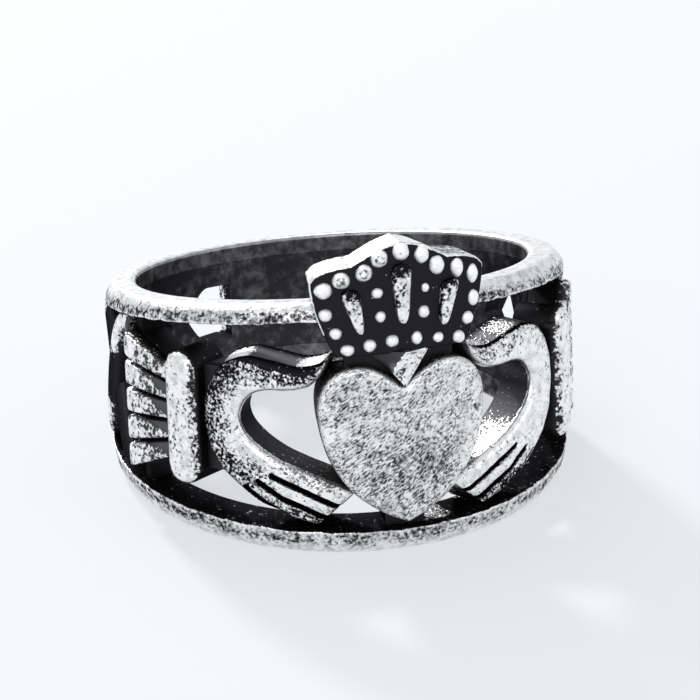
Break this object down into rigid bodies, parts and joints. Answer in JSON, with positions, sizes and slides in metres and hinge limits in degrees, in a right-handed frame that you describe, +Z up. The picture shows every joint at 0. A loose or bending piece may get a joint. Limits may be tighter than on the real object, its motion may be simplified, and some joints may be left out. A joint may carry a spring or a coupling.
{
  "type": "claddagh ring",
  "caption": "Cast finger ring with a pierced band between two rails: a crowned heart held by two hands with cuffs and pleated sleeves, and a plain back.",
  "frame": {"origin": "where the finger hole's axis meets the surface that the lower rim rests on", "axes": "+Z up from that surface, -Y towards the heart at the front, +X to the right as the heart is seen"},
  "size_m": [0.0236, 0.0241, 0.0156],
  "materials": {
    "silver": "oxidised silver, worn bright on its high parts and black in its recesses"
  },
  "bodies": {
    "root": {"ring": "silver"}
  },
  "joints": []
}
